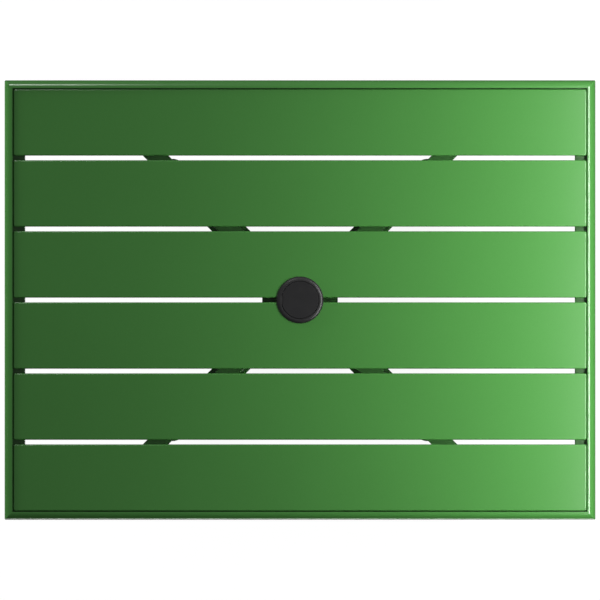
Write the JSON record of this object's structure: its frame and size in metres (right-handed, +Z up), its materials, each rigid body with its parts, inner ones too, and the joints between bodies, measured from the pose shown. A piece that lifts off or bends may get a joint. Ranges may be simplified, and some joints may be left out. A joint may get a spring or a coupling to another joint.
{
  "type": "outdoor table",
  "caption": "Rectangular outdoor dining table with a slatted green metal top, a capped umbrella hole and a centre base of bent tubes.",
  "frame": {"origin": "on the floor, under the middle of the table top", "axes": "+X along the table's long side, to the right as seen from the front; +Y across it, to the back; +Z up"},
  "size_m": [0.82, 0.61, 0.7428],
  "materials": {
    "green_powder_coat": "satin",
    "black_plastic": "satin",
    "fastener_steel": "satin"
  },
  "bodies": {
    "root": {"arm_bolts": "fastener_steel", "arm_end_cap_back_left": "green_powder_coat", "arm_end_cap_back_right": "green_powder_coat", "arm_end_cap_front_left": "green_powder_coat", "arm_end_cap_front_right": "green_powder_coat", "brace_back_left": "green_powder_coat", "brace_back_right": "green_powder_coat", "brace_front_left": "green_powder_coat", "brace_front_right": "green_powder_coat", "brace_nuts": "fastener_steel", "foot_inserts": "fastener_steel", "foot_plug_back_left": "black_plastic", "foot_plug_back_right": "black_plastic", "foot_plug_front_left": "black_plastic", "foot_plug_front_right": "black_plastic", "hub_plate": "green_powder_coat", "leg_back_left": "green_powder_coat", "leg_back_right": "green_powder_coat", "leg_front_left": "green_powder_coat", "leg_front_right": "green_powder_coat", "lower_collar": "green_powder_coat", "lower_collar_bolts": "fastener_steel", "rail_back": "green_powder_coat", "rail_front": "green_powder_coat", "rail_left": "green_powder_coat", "rail_right": "green_powder_coat", "slat_1": "green_powder_coat", "slat_2": "green_powder_coat", "slat_3": "green_powder_coat", "slat_4": "green_powder_coat", "slat_5": "green_powder_coat", "slat_6": "green_powder_coat", "slat_screws": "fastener_steel", "umbrella_ring": "black_plastic", "upper_collar": "green_powder_coat", "upper_collar_bolts": "fastener_steel"},
    "cap": {"umbrella_cap": "black_plastic"},
    "pad_front_left": {"glide_pad_front_left": "black_plastic"},
    "stud_front_left": {"glide_stud_front_left": "fastener_steel"},
    "pad_front_right": {"glide_pad_front_right": "black_plastic"},
    "stud_front_right": {"glide_stud_front_right": "fastener_steel"},
    "pad_back_right": {"glide_pad_back_right": "black_plastic"},
    "stud_back_right": {"glide_stud_back_right": "fastener_steel"},
    "pad_back_left": {"glide_pad_back_left": "black_plastic"},
    "stud_back_left": {"glide_stud_back_left": "fastener_steel"}
  },
  "joints": [
    {"name": "cap_lift", "type": "slide", "parent": "root", "child": "cap", "axis": [0, 0, 1], "range_m": [0, 0.06]},
    {"name": "pad_front_left_drop", "type": "slide", "parent": "root", "child": "pad_front_left", "axis": [0, 0, -1], "range_m": [0, 0.012]},
    {"name": "stud_front_left_turn", "type": "hinge", "parent": "pad_front_left", "child": "stud_front_left", "pos_m": [-0.16405, -0.16405, 0.02], "axis": [0, 0, -1], "range_deg": [0, 3450]},
    {"name": "pad_front_right_drop", "type": "slide", "parent": "root", "child": "pad_front_right", "axis": [0, 0, -1], "range_m": [0, 0.012]},
    {"name": "stud_front_right_turn", "type": "hinge", "parent": "pad_front_right", "child": "stud_front_right", "pos_m": [0.16405, -0.16405, 0.02], "axis": [0, 0, -1], "range_deg": [0, 3450]},
    {"name": "pad_back_right_drop", "type": "slide", "parent": "root", "child": "pad_back_right", "axis": [0, 0, -1], "range_m": [0, 0.012]},
    {"name": "stud_back_right_turn", "type": "hinge", "parent": "pad_back_right", "child": "stud_back_right", "pos_m": [0.16405, 0.16405, 0.02], "axis": [0, 0, -1], "range_deg": [0, 3450]},
    {"name": "pad_back_left_drop", "type": "slide", "parent": "root", "child": "pad_back_left", "axis": [0, 0, -1], "range_m": [0, 0.012]},
    {"name": "stud_back_left_turn", "type": "hinge", "parent": "pad_back_left", "child": "stud_back_left", "pos_m": [-0.16405, 0.16405, 0.02], "axis": [0, 0, -1], "range_deg": [0, 3450]}
  ],
  "couplings": [
    {"joint": "pad_front_left_drop", "follows": "stud_front_left_turn", "m_per_rad": 0.00019894},
    {"joint": "pad_front_right_drop", "follows": "stud_front_right_turn", "m_per_rad": 0.00019894},
    {"joint": "pad_back_right_drop", "follows": "stud_back_right_turn", "m_per_rad": 0.00019894},
    {"joint": "pad_back_left_drop", "follows": "stud_back_left_turn", "m_per_rad": 0.00019894}
  ]
}
